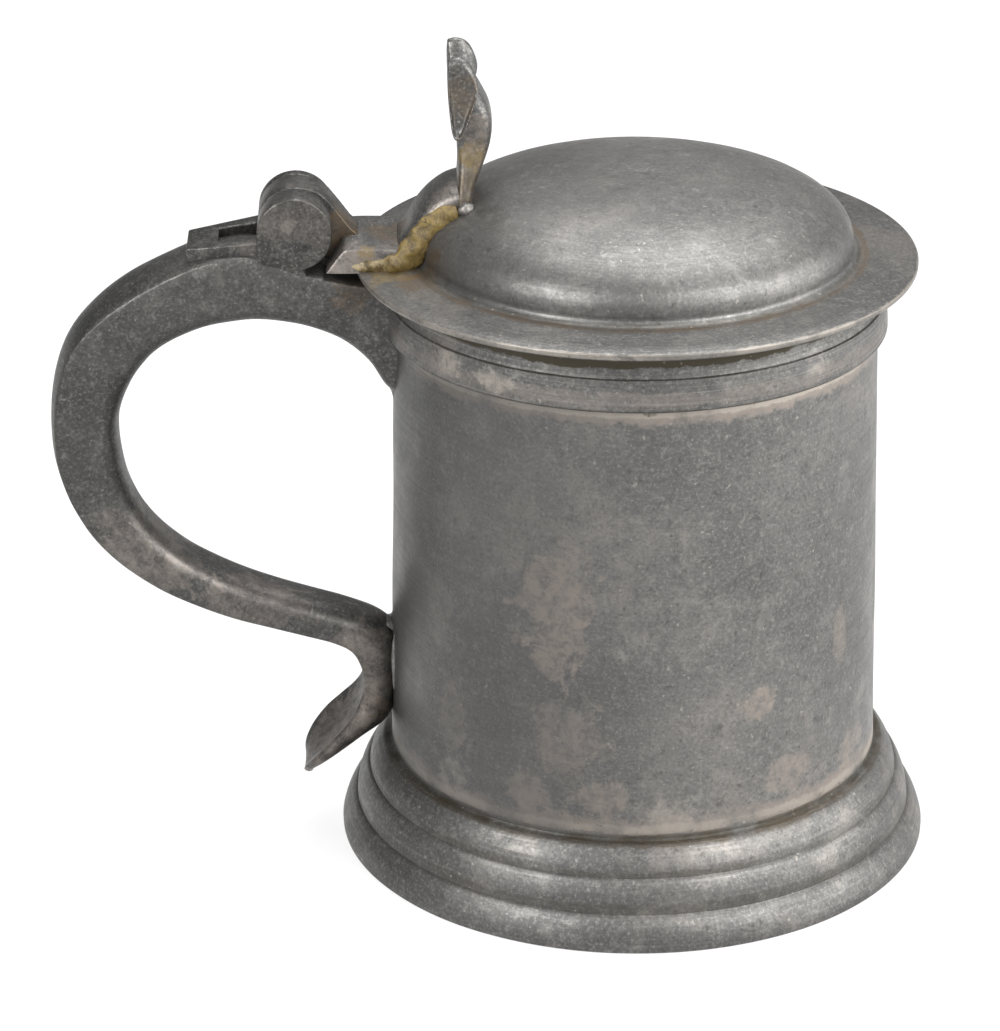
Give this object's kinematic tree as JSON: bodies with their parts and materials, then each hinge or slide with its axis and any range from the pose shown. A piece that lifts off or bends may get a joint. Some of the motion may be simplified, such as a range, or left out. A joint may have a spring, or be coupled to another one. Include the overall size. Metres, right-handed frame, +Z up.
{
  "type": "lidded tankard",
  "caption": "Squat pewter drum tankard with a moulded foot, a scrolled hollow handle and a hinged dome lid that is raised by a horned thumbpiece.",
  "frame": {"origin": "centre of the foot's base, on the surface that the tankard stands on", "axes": "+Z is up along the drum's axis, and the handle, the hinge and the thumbpiece lie towards -X"},
  "size_m": [0.1823, 0.124, 0.1731],
  "materials": {
    "pewter": "satin, aged",
    "solder": "matt, grimy",
    "adhesive": "dull, cracked"
  },
  "bodies": {
    "vessel": {"drum": "pewter", "drum_floor": "pewter", "foot_ring": "pewter", "foot_solder": "solder", "lip_band": "pewter", "lip_solder": "solder", "handle_shell": "pewter", "handle_back": "pewter", "handle_tail": "pewter", "upper_handle_solder": "solder", "lower_handle_solder": "solder", "hinge_ledge": "pewter", "hinge_cheek_near": "pewter", "hinge_cheek_far": "pewter", "hinge_pin": "pewter"},
    "lid": {"lid_flange": "pewter", "lid_dome": "pewter", "lid_bezel": "pewter", "lid_knuckle": "pewter", "lid_bracket": "pewter", "thumbpiece": "pewter", "repair_adhesive": "adhesive"}
  },
  "joints": [
    {"name": "lid_hinge", "type": "hinge", "parent": "vessel", "child": "lid", "pos_m": [-0.0692, 0, 0.1361], "axis": [0, -1, 0], "range_deg": [0, 110]}
  ]
}
